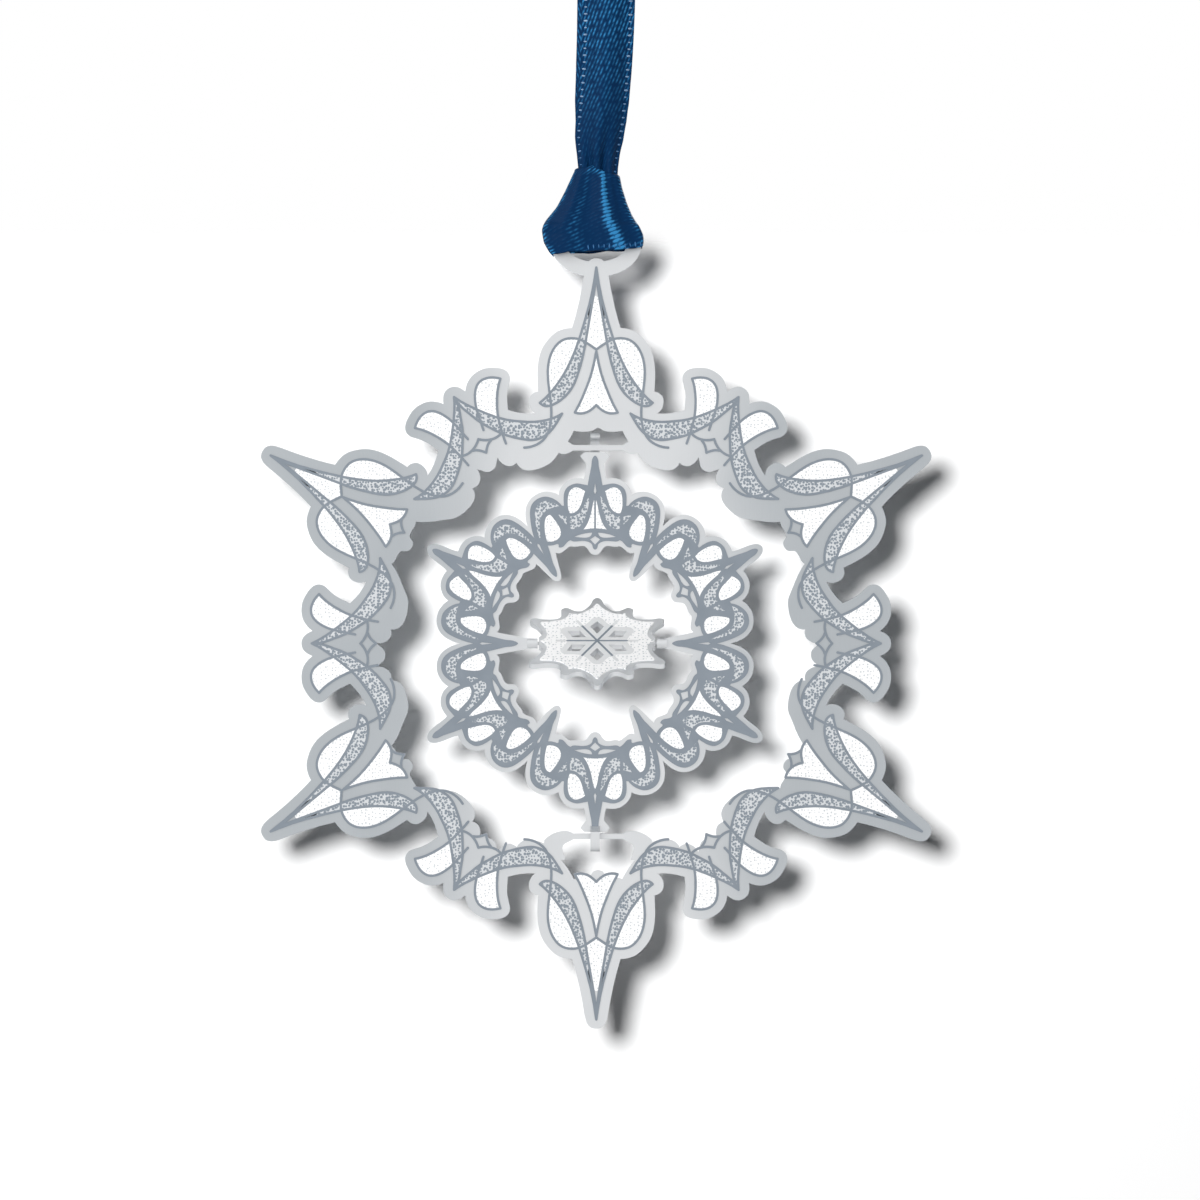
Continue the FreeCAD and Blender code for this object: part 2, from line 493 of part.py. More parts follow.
def hook(up):
    """tab's narrow end, jogged to one face of the bar and turned round its far edge"""
    s = -1 if up < 0 else 1                      # the lower hook starts in front, the upper behind
    level, h = bar_levels[up], bar_height / 2
    inside = plate / 2 + tab_gap
    r = inside + tab_sheet / 2
    start = level - h - barb_clear - 0.75
    far = level + h + 0.22
    point = lambda y, v: FreeCAD.Vector(0, s * y, Z0 + up * v)
    if up < 0:
        turn_end, lip = math.pi, 0.75
    else:
        turn_end, lip = math.radians(150), 0.0
    half = tab_sheet / 2

    def side(shift):
        """one face of the bent strip: foot, jog, leg, bend and lip"""
        rr = r + shift
        pts = [point(0 + shift, start - 0.5), point(0 + shift, start),
               point(r + shift, start + 0.72), point(r + shift, far)]
        edges = [Part.makeLine(a, b) for a, b in zip(pts, pts[1:])]
        bend = lambda t: point(rr * math.cos(t), far + rr * math.sin(t))
        edges.append(Part.Arc(bend(0), bend(turn_end / 2), bend(turn_end)).toShape())
        last = bend(turn_end)
        if lip:
            tip = point(rr * math.cos(turn_end), far - lip)
            edges.append(Part.makeLine(last, tip))
            last = tip
        return pts[0], edges, last

    a0, outer_edges, a1 = side(half)
    b0, inner_edges, b1 = side(-half)
    strip = Part.Face(Part.Wire(outer_edges + [Part.makeLine(a1, b1)] + inner_edges[::-1] +
                                [Part.makeLine(b0, a0)]))
    solid = strip.extrude(FreeCAD.Vector(tab_width, 0, 0))
    solid.translate(FreeCAD.Vector(middle_centre[0] - tab_width / 2, 0, 0))
    return solid


# side necks reach in to the barrels that hold the star's pins
side_point = 6.40 * star_scale
barrel_start = side_point + barrel_gap
necks, barrels, bores = [], [], []
for side in (1, -1):
    inner = star_centre[0] + side * (barrel_start + barrel_length - 0.2)
    outer = middle_centre[0] + side * 10.9 * mid_scale
    wide = 1.24 * mid_scale
    pts = [(inner, barrel_radius), (outer, wide), (outer, -wide), (inner, -barrel_radius)]
    necks.append(polygon([(x, Z0 + z) for x, z in pts]))
    start = FreeCAD.Vector(star_centre[0] + side * barrel_start, 0, Z0)
    way = FreeCAD.Vector(side, 0, 0)
    barrels.append(Part.makeCylinder(barrel_radius, barrel_length, start, way))
    bores.append(Part.makeCylinder(pin_radius + pin_clear, barrel_length + 0.4,
                                   start - way * 0.1, way))
# the two side spikes' round ends give way to the necks, and the top and bottom points to the tabs
reach = barrel_start + barrel_length - 0.2
low_end, top_end = [level - bar_height / 2 - barb_clear for level in
                    (bar_levels[-1], bar_levels[1])]
spare = [polygon([(star_centre[0] - reach, Z0 - 1.5), (star_centre[0] + reach, Z0 - 1.5),
                  (star_centre[0] + reach, Z0 + 1.5), (star_centre[0] - reach, Z0 + 1.5)]),
         polygon([(-2, Z0 + top_end), (2, Z0 + top_end), (2, Z0 + top_end + 4),
                  (-2, Z0 + top_end + 4)]),
         polygon([(-2, Z0 - low_end - 4), (2, Z0 - low_end - 4), (2, Z0 - low_end),
                  (-2, Z0 - low_end)])]
middle_face = joined(middle_face.cut(Part.makeCompound(spare)).Faces + necks +
                     [barbed(1), barbed(-1)])
middle = raised(middle_face, -plate / 2, plate)
middle = middle.fuse([hook(1), hook(-1)] + barrels).cut(Part.makeCompound(bores)).removeSplitter()
export(middle, "middle_plate")

dark_face = dark.cut(Part.makeCompound(mid_white + mid_bands + bare))
barrel_end = barrel_start + barrel_length + 0.3
barrel_room = polygon([(star_centre[0] - barrel_end, Z0 - barrel_radius - 0.2),
                       (star_centre[0] + barrel_end, Z0 - barrel_radius - 0.2),
                       (star_centre[0] + barrel_end, Z0 + barrel_radius + 0.2),
                       (star_centre[0] - barrel_end, Z0 + barrel_radius + 0.2)])
dark_face = dark_face.common(middle_face).cut(barrel_room)
export(raised(dark_face, front - enamel, enamel), "middle_dark_enamel")
export(raised(Part.makeCompound(mid_white), front - enamel, enamel), "middle_white_enamel")
export(raised(Part.makeCompound(mid_bands), front - enamel, enamel), "middle_stippled_bands")

# ---- star ------------------------------------------------------------------------------------
turned = lambda points, angle: placed(points, angle, star_centre, star_scale)
def star_face(outline):
    """closed outline of twelve half repeats, long points on the tips' axes"""
    runs = []
    for tip in tips:
        runs.append(turned(full(outline[::-1]), tip))
    return face(runs)


def side_points(reach):
    """what lies past reach on the two side points"""
    x = star_centre[0]
    return Part.makeCompound([polygon([(x + s * reach, Z0 - 1.6), (x + s * (reach + 2), Z0 - 1.6),
                                       (x + s * (reach + 2), Z0 + 1.6), (x + s * reach, Z0 + 1.6)])
                              for s in (1, -1)])


windows = Part.makeCompound([face([turned(STAR_WINDOW[:2], tip), turned(STAR_WINDOW[1:], tip),
                                   turned(mirrored(STAR_WINDOW[1:])[::-1], tip),
                                   turned(mirrored(STAR_WINDOW[:2])[::-1], tip)])
                             for tip in tips])
sheet = star_face(STAR_EDGE).cut(windows).cut(side_points(side_point))
figure = star_face(STAR_FIGURE)


def spoke(wing, reach, width):
    return stroke(turned([(0, 0), (0, reach / 2), (0, reach - width / 2)], wing), width)


rods = [spoke(wing, spoke_long, spoke_wide) for wing in wings]
dark_spokes = joined([spoke(wing, spoke_short, spoke_thin) for wing in wings])
figure = joined(figure.Faces + rods)
field = star_face(STAR_FIELD).cut(figure).cut(side_points(side_point - 0.2))
figure = figure.cut(windows).cut(dark_spokes)


def tilted(shape):
    """star turned about its pins to the angle it rests at"""
    shape = shape.copy()
    shape.rotate(FreeCAD.Vector(star_centre[0], 0, Z0), FreeCAD.Vector(1, 0, 0), -star_tilt)
    return shape


pins = [Part.makeCylinder(pin_radius, pin_seat + barrel_gap + barrel_length - 0.1,
                          FreeCAD.Vector(star_centre[0] + side * (side_point - pin_seat), 0, Z0),
                          FreeCAD.Vector(side, 0, 0)) for side in (1, -1)]
star = raised(sheet, -plate / 2, plate).cut(Part.makeCompound(pins)).removeSplitter()
export(tilted(Part.makeCompound(star.Solids)), "star_plate")
export(tilted(raised(field, front - enamel, enamel)), "star_white_enamel")
export(tilted(raised(figure, front - enamel, enamel)), "star_grey_figure")
export(tilted(raised(dark_spokes, front - enamel, enamel)), "star_dark_spokes")
export(Part.makeCompound(pins), "star_pivot_pins")

# ---- ribbon: hitch on the eyelet's rail, and the loop above it ----------------------------------
def on_rail(points):
    return [FreeCAD.Vector(x * ribbon_scale, 0, rail_z + z) for x, z in points]


neck_top = rail_z + neck_rise
outline = face([on_rail(HITCH_LEFT), on_rail(HITCH_FOOT), on_rail(HITCH_RIGHT)])
bell = outline.extrude(FreeCAD.Vector(0, 8, 0))
bell.translate(FreeCAD.Vector(0, -4, 0))
# half its thickness at heights above the rail's middle: gathered at the neck, flared at the foot
rise = neck_top - rail_z
flare = [(1.86, -2.4), (1.78, -1.0), (1.62, 0.6), (1.42, 3.0), (1.28, 5.4), (1.22, rise)]
left = [FreeCAD.Vector(0, -y, rail_z + z) for y, z in flare]
right = [FreeCAD.Vector(0, y, rail_z + z) for y, z in flare][::-1]
profile = Part.Face(Part.Wire([spline(left), Part.makeLine(left[-1], right[0]), spline(right),
                               Part.makeLine(right[-1], left[0])]))
depth = profile.extrude(FreeCAD.Vector(16, 0, 0))
depth.translate(FreeCAD.Vector(-8, 0, 0))
hitch = bell.common(depth)
# room for the rail to turn in, and for the eyelet's sides to swing in
corner = math.hypot(plate / 2, rail / 2)
room = corner + 0.12
rail_x = Part.makeCylinder(room, 16, FreeCAD.Vector(-8, 0, rail_z), FreeCAD.Vector(1, 0, 0))
lean = math.tan(math.radians(swing))
wide = plate / 2 / math.cos(math.radians(swing)) + 0.1
wedge = Part.Face(Part.makePolygon([
    FreeCAD.Vector(0, -wide, rail_z), FreeCAD.Vector(0, wide, rail_z),
    FreeCAD.Vector(0, wide + 4 * lean, rail_z - 4),
    FreeCAD.Vector(0, -wide - 4 * lean, rail_z - 4), FreeCAD.Vector(0, -wide, rail_z)]))
sides = []
for side in (1, -1):
    slab = wedge.extrude(FreeCAD.Vector(side * 8, 0, 0))
    slab.translate(FreeCAD.Vector(side * strap, 0, 0))
    sides.append(slab)
keep = Part.makeCylinder(2.15, 2 * strap, FreeCAD.Vector(-strap, 0, rail_z),
                         FreeCAD.Vector(1, 0, 0))
below = Part.makeBox(2 * strap, 8, 4, FreeCAD.Vector(-strap, -4, rail_z - 4)).cut(keep)
hitch = hitch.cut([rail_x] + sides + [below])
export(Part.makeCompound(hitch.Solids), "ribbon_hitch")

# loop: two strands that part from the hitch and turn over whatever the ornament hangs from
peg_z = -bight_radius
mid = bight_radius + ribbon_thick / 2
foot_y, foot_z = 0.45, neck_top                 # the strands' feet, from the middle and height
slope = math.asin((mid - foot_y) / (peg_z - foot_z))


def strand_edge(shift):
    """one face of the ribbon, from the front strand's foot over the top to the back's"""
    rr = mid + shift
    turn = lambda t: FreeCAD.Vector(0, -rr * math.cos(t), peg_z + rr * math.sin(t))
    start = FreeCAD.Vector(0, -foot_y - shift, foot_z)
    end = FreeCAD.Vector(0, foot_y + shift, foot_z)
    first = -slope
    return [Part.makeLine(start, turn(first)),
            Part.Arc(turn(first), turn(math.pi / 2), turn(math.pi - first)).toShape(),
            Part.makeLine(turn(math.pi - first), end)], start, end


outer_side, o0, o1 = strand_edge(ribbon_thick / 2)
inner_side, i0, i1 = strand_edge(-ribbon_thick / 2)
band = Part.Face(Part.Wire(outer_side + [Part.makeLine(o1, i1)] + inner_side[::-1] +
                           [Part.makeLine(i0, o0)]))
strip = band.extrude(FreeCAD.Vector(16, 0, 0))
strip.translate(FreeCAD.Vector(-8, 0, 0))
crown = 4 - rail_z                              # just above the loop's top, from the rail
seen = face([on_rail(RIBBON_LEFT + [(-2.08, crown)]), on_rail([(4.27, crown)] + RIBBON_RIGHT)])
seen = seen.extrude(FreeCAD.Vector(0, 12, 0))
seen.translate(FreeCAD.Vector(0, -6, 0))
loop = strip.common(seen)
export(Part.makeCompound(loop.Solids), "ribbon_loop")
length = 2 * outer_side[0].Length + math.pi * mid
print("ribbon loop length about", round(length, 1), "volume over section",
      round(loop.Volume / (ribbon_width * ribbon_thick), 1))
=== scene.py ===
import math

import bpy
import numpy as np
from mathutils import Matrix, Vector


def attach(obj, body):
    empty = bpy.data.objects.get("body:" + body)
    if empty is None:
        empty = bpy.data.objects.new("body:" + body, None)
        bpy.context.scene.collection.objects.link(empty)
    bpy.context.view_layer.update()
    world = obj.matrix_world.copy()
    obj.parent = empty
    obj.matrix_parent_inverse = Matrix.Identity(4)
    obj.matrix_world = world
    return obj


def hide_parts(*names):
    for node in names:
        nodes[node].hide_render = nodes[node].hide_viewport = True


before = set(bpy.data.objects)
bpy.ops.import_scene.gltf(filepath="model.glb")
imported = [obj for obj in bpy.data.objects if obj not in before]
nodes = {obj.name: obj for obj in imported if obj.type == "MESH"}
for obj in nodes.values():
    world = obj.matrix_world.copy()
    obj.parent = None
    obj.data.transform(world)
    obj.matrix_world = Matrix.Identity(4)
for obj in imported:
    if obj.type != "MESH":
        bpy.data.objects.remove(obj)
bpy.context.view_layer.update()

# ---- camera ------------------------------------------------------------------------------------
# The ornament hangs flat to the viewer, its face square to a long lens.  The view is 132 mm wide
# where the metal hangs, and cuts the ribbon off well above its neck.
mm = 0.001
scene = bpy.context.scene
lens, sensor, view_wide = 150, 36, 132 * mm
aim_x, aim_z = 0.41 * mm, -79.92 * mm
camera_data = bpy.data.cameras.new("camera")
camera_data.lens, camera_data.sensor_width = lens, sensor
camera = bpy.data.objects.new("camera", camera_data)
camera.location = (aim_x, -view_wide * lens / sensor, aim_z)
camera.rotation_euler = (math.radians(90), 0, 0)
scene.collection.objects.link(camera)
scene.camera = camera
scene.view_settings.view_transform = "Standard"

# ---- ribbon loop -------------------------------------------------------------------------------
# One strip of quarter-inch double-face satin, woven of bright polyester with a selvage along each
# edge.  It leaves the hitch pleated to two thirds of its width, opens out to a shallow cup as it
# rises, turns flat over the hook that it hangs on, and comes down behind.
ribbon_width, ribbon_thick = 6.35 * mm, 0.26 * mm
loop_route = [(0.22, -0.55, -33.6), (0.22, -0.62, -31.6), (0.30, -0.95, -29.4),
              (0.80, -1.45, -24.9), (1.16, -1.95, -20.5), (1.36, -2.65, -13.9),
              (1.30, -3.35, -7.0), (1.22, -3.66, -3.9), (1.17, -3.65, -1.99),
              (1.17, -1.51, 0.13), (1.17, 1.51, 0.13), (1.17, 3.65, -1.99),
              (1.12, 3.66, -3.9), (1.05, 3.35, -7.0), (1.02, 2.65, -13.9),
              (0.88, 1.95, -20.5), (0.62, 1.45, -24.9), (0.28, 0.95, -29.4),
              (0.22, 0.62, -31.6), (0.22, 0.55, -33.6)]
loop_rows, loop_columns = 300, 61
pleat_count = 3
drift_size, drift_run = 0.06 * mm, 9 * mm       # the slow unevenness of hanging cloth
bead_size, bead_place, bead_width = 0.035 * mm, 0.93, 0.035     # the selvage's raised edge


def srgb(code):
    """a hex colour as linear red, green, blue and full alpha"""
    parts = [int(code[i:i + 2], 16) / 255 for i in (1, 3, 5)]
    return tuple(c / 12.92 if c <= 0.04045 else ((c + 0.055) / 1.055) ** 2.4 for c in parts) + (1,)


def add(tree, kind, inputs=None, **settings):
    """one node with its settings; an input is a value or the socket that feeds it"""
    made = tree.nodes.new(kind)
    for name, value in settings.items():
        setattr(made, name, value)
    for name, value in (inputs or {}).items():
        if isinstance(value, bpy.types.NodeSocket):
            tree.links.new(value, made.inputs[name])
        else:
            made.inputs[name].default_value = value
    return made


def material(name):
    """an empty material and its node tree"""
    made = bpy.data.materials.new(name)
    made.use_nodes = True
    made.node_tree.nodes.clear()
    return made, made.node_tree


def shade(tree, inputs):
    """one principled surface as the material's output"""
    surface = add(tree, "ShaderNodeBsdfPrincipled", inputs)
    add(tree, "ShaderNodeOutputMaterial", {"Surface": surface.outputs[0]})


def link(name, data):
    """a new object in the scene"""
    made = bpy.data.objects.new(name, data)
    scene.collection.objects.link(made)
    return made


def grid_mesh(name, points, cloth, painted_shading):
    """mesh of a grid of points, with its cloth lengths in millimetres as UVs

    the shading value is painted light: 1 is full painted shade, 0 is plain cloth and below 0 is
    painted highlight
    """
    rows, across = points.shape[:2]
    index = np.arange(rows * across).reshape(rows, across)
    faces = np.stack([index[:-1, :-1], index[:-1, 1:], index[1:, 1:], index[1:, :-1]], -1)
    mesh = bpy.data.meshes.new(name)
    mesh.from_pydata(points.reshape(-1, 3).tolist(), [], faces.reshape(-1, 4).tolist())
    uv = mesh.uv_layers.new(name="cloth")
    corner = np.array([loop.vertex_index for loop in mesh.loops])
    uv.data.foreach_set("uv", cloth.reshape(-1, 2)[corner].ravel())
    shading_layer = mesh.attributes.new("painted_shading", "FLOAT", "POINT")
    shading_layer.data.foreach_set("value", painted_shading.ravel().astype(np.float32))
    mesh.shade_smooth()
    return mesh


def finished(piece):
    """the piece with its modifiers made into plain mesh"""
    graph = bpy.context.evaluated_depsgraph_get()
    mesh = bpy.data.meshes.new_from_object(piece.evaluated_get(graph))
    piece.modifiers.clear()
    old, piece.data = piece.data, mesh
    bpy.data.meshes.remove(old)


# the route as a smooth line, read back at even steps
route = bpy.data.curves.new("loop_route", "CURVE")
route.dimensions, route.resolution_u = "3D", 24
line = route.splines.new("NURBS")
line.points.add(len(loop_route) - 1)
for point, place in zip(line.points, loop_route):
    point.co = (*[v * mm for v in place], 1)
line.order_u = 3
line.use_endpoint_u = True
carrier = link("loop_route", route)
smooth = bpy.data.meshes.new_from_object(carrier)
walked = np.array([v.co for v in smooth.vertices])
bpy.data.objects.remove(carrier)
bpy.data.meshes.remove(smooth)
steps = np.r_[0, np.cumsum(np.linalg.norm(np.diff(walked, axis=0), axis=1))]
loop_length = steps[-1]
along = np.linspace(0, loop_length, loop_rows)
centre = np.stack([np.interp(along, steps, walked[:, k]) for k in range(3)], 1)
way = np.gradient(centre, axis=0)
way /= np.linalg.norm(way, axis=1)[:, None]
across = np.array([1.0, 0, 0]) - way * way[:, :1]
across /= np.linalg.norm(across, axis=1)[:, None]
out = np.cross(across, way)

# half width seen from the front at heights in mm, and how much of the slack lies in the pleats
rising = along < loop_length / 2
height = centre[:, 2] / mm
front_half = np.interp(height, [-33.6, -32.4, -31, -29.3, -27.1, -20.5, -13.9, -4, 0],
                       [2.05, 2.12, 2.3, 2.63, 2.78, 2.83, 2.92, 3.12, 3.15])
back_half = np.interp(height, [-33.6, -32.4, -31, -29.3, -24.9, -20.5, -13.9, -4, 0],
                      [2.0, 2.05, 2.2, 2.5, 2.98, 3.08, 3.1, 3.13, 3.15])
flat_top = np.clip((-height - 1.5) / 5, 0, 1)   # no slack where the ribbon lies over its hook
half = np.where(rising, front_half, back_half) * mm
pleated = np.interp(height, [-33.6, -31.5, -27.5, -22], [1, 0.95, 0.35, 0])
slack = np.sqrt(np.maximum(ribbon_width / (2 * half) - 1, 0)) * 2 * half / math.pi
side = np.where(rising, 1.0, -1.0) * flat_top
u = np.linspace(-1, 1, loop_columns)
cup = (slack * np.sqrt(1 - pleated ** 2) * side)[:, None] * np.cos(math.pi * u)[None]
pleats = ((slack * pleated * side)[:, None] / pleat_count
          * np.cos(pleat_count * math.pi * u + 0.7)[None])
drift = drift_size * np.sin(along / drift_run)[:, None] * np.sin(2.1 * u + 0.4)[None]
bead = bead_size * np.exp(-((np.abs(u) - bead_place) / bead_width) ** 2)[None]
lift = cup + pleats + drift + bead
surface = (centre[:, None] + across[:, None] * (u[None, :, None] * half[:, None, None])
           + out[:, None] * lift[..., None])
cloth = np.stack(np.broadcast_arrays(u[None] * ribbon_width / 2 / mm, along[:, None] / mm), -1)
# painted shade: the strip grows darker towards the neck
painted_shading = np.broadcast_to(np.interp(height, [-32.6, -29, -25.5, -20, -13], [1, 0.8, 0.5, 0.22, 0])
                         [:, None], surface.shape[:2])

# Double-face polyester satin: long floats lie in steep diagonal lines, with a painted sheen that is
# brighter where they crown and deep blue between them.  Real threads are too fine to show, so the
# lines are drawn 0.44 mm apart.
# Lengths here are in millimetres of cloth, as the UV map is.
line_apart, line_slant, float_long, patch_scale = 0.44, -0.364, 0.62, 0.35
deep_blue, weave_blue, float_sheen_blue = "#0a2b4f", "#1b4f79", "#3480b6"
satin, tree = material("polyester_satin")
cloth_uv = add(tree, "ShaderNodeUVMap", uv_map="cloth")
lengths = add(tree, "ShaderNodeSeparateXYZ", {0: cloth_uv.outputs[0]})
slant = add(tree, "ShaderNodeMath", {0: lengths.outputs[1], 1: line_slant}, operation="MULTIPLY")
phase = add(tree, "ShaderNodeMath", {0: lengths.outputs[0], 1: slant.outputs[0]}, operation="ADD")
line_no = add(tree, "ShaderNodeMath", {0: phase.outputs[0], 1: 1 / line_apart},
              operation="MULTIPLY")
turn = add(tree, "ShaderNodeMath", {0: line_no.outputs[0], 1: 2 * math.pi}, operation="MULTIPLY")
crest = add(tree, "ShaderNodeMath", {0: turn.outputs[0]}, operation="SINE")
crest = add(tree, "ShaderNodeMapRange", {0: crest.outputs[0], 1: -1.0, 2: 1.0})
run = add(tree, "ShaderNodeMath", {0: lengths.outputs[1], 1: 1 / float_long}, operation="MULTIPLY")
cell = add(tree, "ShaderNodeCombineXYZ", {0: line_no.outputs[0], 1: run.outputs[0]})
floats = add(tree, "ShaderNodeTexVoronoi", {"Vector": cell.outputs[0], "Scale": 1.0,
                                            "Randomness": 0.75},
             voronoi_dimensions="2D", feature="F1")
dash = add(tree, "ShaderNodeMapRange", {0: floats.outputs["Distance"], 1: 0.75, 2: 0.1})
crown = add(tree, "ShaderNodeMath", {0: crest.outputs[0], 1: dash.outputs[0]},
            operation="MULTIPLY")
patch = add(tree, "ShaderNodeTexNoise", {"Vector": cloth_uv.outputs[0], "Scale": patch_scale,
                                         "Detail": 3.0, "Roughness": 0.6}, noise_dimensions="2D")
spread = add(tree, "ShaderNodeMapRange", {0: patch.outputs[0], 1: 0.3, 2: 0.7, 3: 0.75, 4: 1.15})
glow = add(tree, "ShaderNodeMath", {0: crown.outputs[0], 1: spread.outputs[0]},
           operation="MULTIPLY")
# painted shade darkens the cloth where the shading value is high, and painted highlight brightens
# it below 0
shading_attr = add(tree, "ShaderNodeAttribute", attribute_name="painted_shading")
shade_dim = add(tree, "ShaderNodeMapRange", {0: shading_attr.outputs["Fac"], 3: 1.0, 4: 0.15},
                 clamp=False)
glow = add(tree, "ShaderNodeMath", {0: glow.outputs[0], 1: shade_dim.outputs[0]},
           operation="MULTIPLY")
highlight_lift = add(tree, "ShaderNodeMapRange", {0: shading_attr.outputs["Fac"], 1: 0.0, 2: -2.0, 4: 0.42})
glow = add(tree, "ShaderNodeMath", {0: glow.outputs[0], 1: highlight_lift.outputs[0]}, operation="ADD")
ramp = add(tree, "ShaderNodeValToRGB", {0: glow.outputs[0]})
ramp.color_ramp.elements[0].color = srgb(deep_blue)
ramp.color_ramp.elements[0].position = 0.06
ramp.color_ramp.elements[1].color = srgb(float_sheen_blue)
ramp.color_ramp.elements[1].position = 0.85
middle_stop = ramp.color_ramp.elements.new(0.42)
middle_stop.color = srgb(weave_blue)
relief = add(tree, "ShaderNodeBump", {"Strength": 0.6, "Distance": 0.05 * mm,
                                      "Height": crown.outputs[0]})
shade(tree, {"Base Color": ramp.outputs[0], "Roughness": 0.5, "IOR": 1.5,
             "Specular IOR Level": 0.05, "Normal": relief.outputs[0]})


def cloth_piece(name, points, cloth, painted_shading, thickness, offset, even=False):
    """a sheet of ribbon made solid: both ways with offset 0, inwards with -1"""
    piece = link(name, grid_mesh(name, points, cloth, painted_shading))
    solid = piece.modifiers.new("thickness", "SOLIDIFY")
    solid.thickness, solid.offset, solid.use_even_offset = thickness, offset, even
    finished(piece)
    piece.data.materials.append(satin)
    return piece


ribbon_strip = cloth_piece("ribbon_strip", surface, cloth, painted_shading, ribbon_thick, 0, even=True)

# ---- selvage stitches --------------------------------------------------------------------------
# Along both edges the weft turns back in small loops, one every 0.75 mm, raised a little from the
# cloth.  They are polyester like the rest, drawn as separate beads; their colour carries a painted
# highlight up the strands and painted shade that darkens them towards the hitch.
stitch_every, stitch_long, stitch_wide, stitch_high = 0.75 * mm, 0.42 * mm, 0.20 * mm, 0.13 * mm
stitch_column, stitch_clear = 5, 0.02 * mm       # in from each edge, and out from the cloth
weft, tree = material("polyester_weft_loops")
where = add(tree, "ShaderNodeTexCoord")
strands = add(tree, "ShaderNodeTexNoise", {"Vector": where.outputs["Object"], "Scale": 2.4 / mm,
                                           "Detail": 2.0})
rise = add(tree, "ShaderNodeSeparateXYZ", {0: where.outputs["Object"]})
# painted highlight: the loops grow paler with height, and darker in painted shade near the hitch
rise_highlight = add(tree, "ShaderNodeMapRange", {0: rise.outputs[2], 1: -33 * mm, 2: -22 * mm})
highlit_thread = add(tree, "ShaderNodeMix", {0: rise_highlight.outputs[0], 6: srgb("#2f6c9f"),
                                         7: srgb("#a3bfd6")}, data_type="RGBA")
tint = add(tree, "ShaderNodeMix", {0: strands.outputs[0], 6: srgb("#1d5285"),
                                   7: highlit_thread.outputs[2]}, data_type="RGBA")
fibres = add(tree, "ShaderNodeBump", {"Strength": 0.4, "Distance": 0.03 * mm,
                                      "Height": strands.outputs[0]})
shade(tree, {"Base Color": tint.outputs[2], "Roughness": 0.35, "IOR": 1.5,
             "Normal": fibres.outputs[0]})

stitches = bpy.data.node_groups.new("stitch_row", "GeometryNodeTree")
face = stitches.interface
face.new_socket("Rows", in_out="INPUT", socket_type="NodeSocketGeometry")
stitch_inputs = {name: face.new_socket(name, in_out="INPUT", socket_type="NodeSocket" + kind)
                 for name, kind in (("Spacing", "Float"), ("Size", "Vector"), ("Uneven", "Float"),
                                    ("Thread", "Material"))}
face.new_socket("Stitches", in_out="OUTPUT", socket_type="NodeSocketGeometry")
given = add(stitches, "NodeGroupInput")
curve = add(stitches, "GeometryNodeMeshToCurve", {0: given.outputs["Rows"]})
even = add(stitches, "GeometryNodeResampleCurve",
           {"Curve": curve.outputs[0], "Length": given.outputs["Spacing"]}, mode="LENGTH")
bead = add(stitches, "GeometryNodeMeshIcoSphere", {"Radius": 0.5, "Subdivisions": 2})
sized = add(stitches, "GeometryNodeTransform",
            {"Geometry": bead.outputs[0], "Scale": given.outputs["Size"]})
outward = add(stitches, "GeometryNodeInputNamedAttribute", {"Name": "outward"},
              data_type="FLOAT_VECTOR")
tangent = add(stitches, "GeometryNodeInputTangent")
stand = add(stitches, "FunctionNodeAxesToRotation",
            {0: outward.outputs[0], 1: tangent.outputs[0]}, primary_axis="Z", secondary_axis="X")
low = add(stitches, "ShaderNodeMath", {0: 1.0, 1: given.outputs["Uneven"]}, operation="SUBTRACT")
high = add(stitches, "ShaderNodeMath", {0: 1.0, 1: given.outputs["Uneven"]}, operation="ADD")
uneven = add(stitches, "FunctionNodeRandomValue", {2: low.outputs[0], 3: high.outputs[0], 8: 7},
             data_type="FLOAT")
set_out = add(stitches, "GeometryNodeInstanceOnPoints",
              {"Points": even.outputs[0], "Instance": sized.outputs[0],
               "Rotation": stand.outputs[0], "Scale": uneven.outputs[1]})
real = add(stitches, "GeometryNodeRealizeInstances", {0: set_out.outputs[0]})
threaded = add(stitches, "GeometryNodeSetMaterial",
               {"Geometry": real.outputs[0], "Material": given.outputs["Thread"]})
add(stitches, "NodeGroupOutput", {0: threaded.outputs[0]})


def stitch_rows(name, rows, spacing, size, uneven, thread):
    """stitches set along rows, each a pair of its points and the directions that face outwards"""
    points = np.concatenate([row[0] for row in rows])
    facing = np.concatenate([row[1] for row in rows])
    edges, first = [], 0
    for row in rows:
        edges += [(first + i, first + i + 1) for i in range(len(row[0]) - 1)]
        first += len(row[0])
    mesh = bpy.data.meshes.new(name)
    mesh.from_pydata(points.tolist(), edges, [])
    held = mesh.attributes.new("outward", "FLOAT_VECTOR", "POINT")
    held.data.foreach_set("vector", facing.ravel().astype(np.float32))
    piece = link(name, mesh)
    made = piece.modifiers.new("stitches", "NODES")
    made.node_group = stitches
    for label, value in (("Spacing", spacing), ("Size", size), ("Uneven", uneven),
                         ("Thread", thread)):
        made[stitch_inputs[label].identifier] = value
    finished(piece)
    piece.data.shade_smooth()
    return piece


def facing_out(points):
    """outward unit normals of a grid, on the side that (across x along) points to"""
    normal = np.cross(np.gradient(points, axis=1), np.gradient(points, axis=0))
    return normal / np.linalg.norm(normal, axis=2)[..., None]


outside = facing_out(surface)
rows = []
for column in (stitch_column, loop_columns - 1 - stitch_column):
    rows.append((surface[:, column] + outside[:, column] * (ribbon_thick / 2 + stitch_clear),
                 outside[:, column]))
selvage_stitches = stitch_rows("selvage_stitches", rows, stitch_every,
                               (stitch_wide, stitch_long, stitch_high), 0.25, weft)

